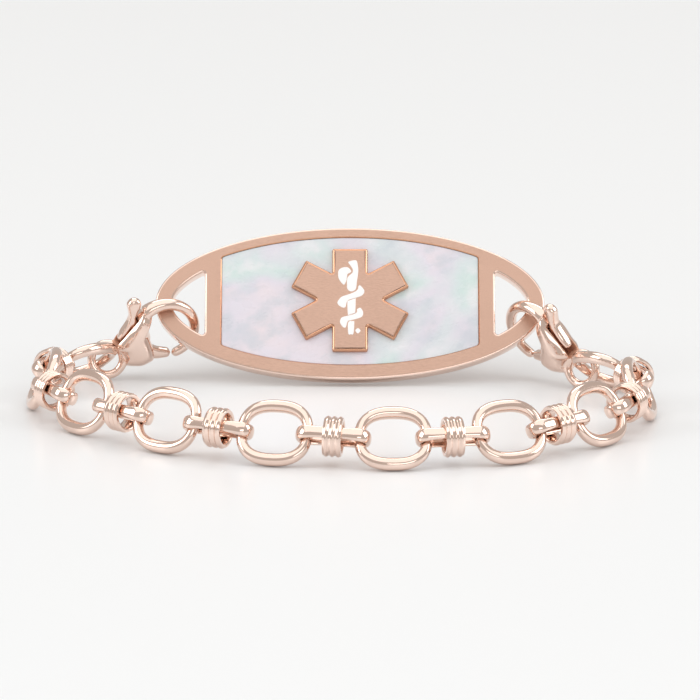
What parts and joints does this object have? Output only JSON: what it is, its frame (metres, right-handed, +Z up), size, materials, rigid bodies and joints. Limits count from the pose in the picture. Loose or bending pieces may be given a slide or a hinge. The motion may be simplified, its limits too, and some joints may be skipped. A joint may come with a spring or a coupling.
{
  "type": "medical alert bracelet",
  "caption": "Rose-gold medical alert bracelet: an oval plaque with a shell inlay and a raised star, held by two lobster clasps on a chain of oval links and ridged collars.",
  "frame": {"origin": "middle of the bracelet's outline on the floor it stands on", "axes": "+X along the plaque's length, towards the right clasp as seen from the front; +Y from the front of the chain to the plaque at the back; +Z up, along the axis of the loop"},
  "size_m": [0.0704, 0.0479, 0.0165],
  "materials": {
    "polished_rose_gold": "mirror-polished rose-gold plate on steel",
    "satin_rose_gold": "fine satin rose-gold plate on steel",
    "shell": "polished mother-of-pearl",
    "white_enamel": "glossy hard enamel"
  },
  "bodies": {
    "bracelet": {"plaque": "satin_rose_gold", "pearl_inlay": "shell", "star_emblem": "satin_rose_gold", "staff_and_serpent": "white_enamel", "left_clasp_body": "polished_rose_gold", "left_clasp_pin": "polished_rose_gold", "right_clasp_body": "polished_rose_gold", "right_clasp_pin": "polished_rose_gold", "oval_link_1": "polished_rose_gold", "oval_link_2": "polished_rose_gold", "oval_link_3": "polished_rose_gold", "oval_link_4": "polished_rose_gold", "oval_link_5": "polished_rose_gold", "oval_link_6": "polished_rose_gold", "oval_link_7": "polished_rose_gold", "oval_link_8": "polished_rose_gold", "oval_link_9": "polished_rose_gold", "oval_link_10": "polished_rose_gold", "strap_1": "polished_rose_gold", "strap_2": "polished_rose_gold", "strap_3": "polished_rose_gold", "strap_4": "polished_rose_gold", "strap_5": "polished_rose_gold", "strap_6": "polished_rose_gold", "strap_7": "polished_rose_gold", "strap_8": "polished_rose_gold", "strap_9": "polished_rose_gold", "collar_1": "polished_rose_gold", "collar_2": "polished_rose_gold", "collar_3": "polished_rose_gold", "collar_4": "polished_rose_gold", "collar_5": "polished_rose_gold", "collar_6": "polished_rose_gold", "collar_7": "polished_rose_gold", "collar_8": "polished_rose_gold", "collar_9": "polished_rose_gold"},
    "left_lever": {"left_clasp_lever": "polished_rose_gold"},
    "right_lever": {"right_clasp_lever": "polished_rose_gold"}
  },
  "joints": [
    {"name": "left_lever_hinge", "type": "hinge", "parent": "bracelet", "child": "left_lever", "pos_m": [-0.02313, 0.01723, 0.00431], "axis": [0.2417, -0.9171, -0.3171], "range_deg": [0, 18], "stiffness_Nm_per_rad": 0.002},
    {"name": "right_lever_hinge", "type": "hinge", "parent": "bracelet", "child": "right_lever", "pos_m": [0.0244, 0.01514, 0.00414], "axis": [0.6814, 0.6442, 0.3473], "range_deg": [0, 18], "stiffness_Nm_per_rad": 0.002}
  ]
}
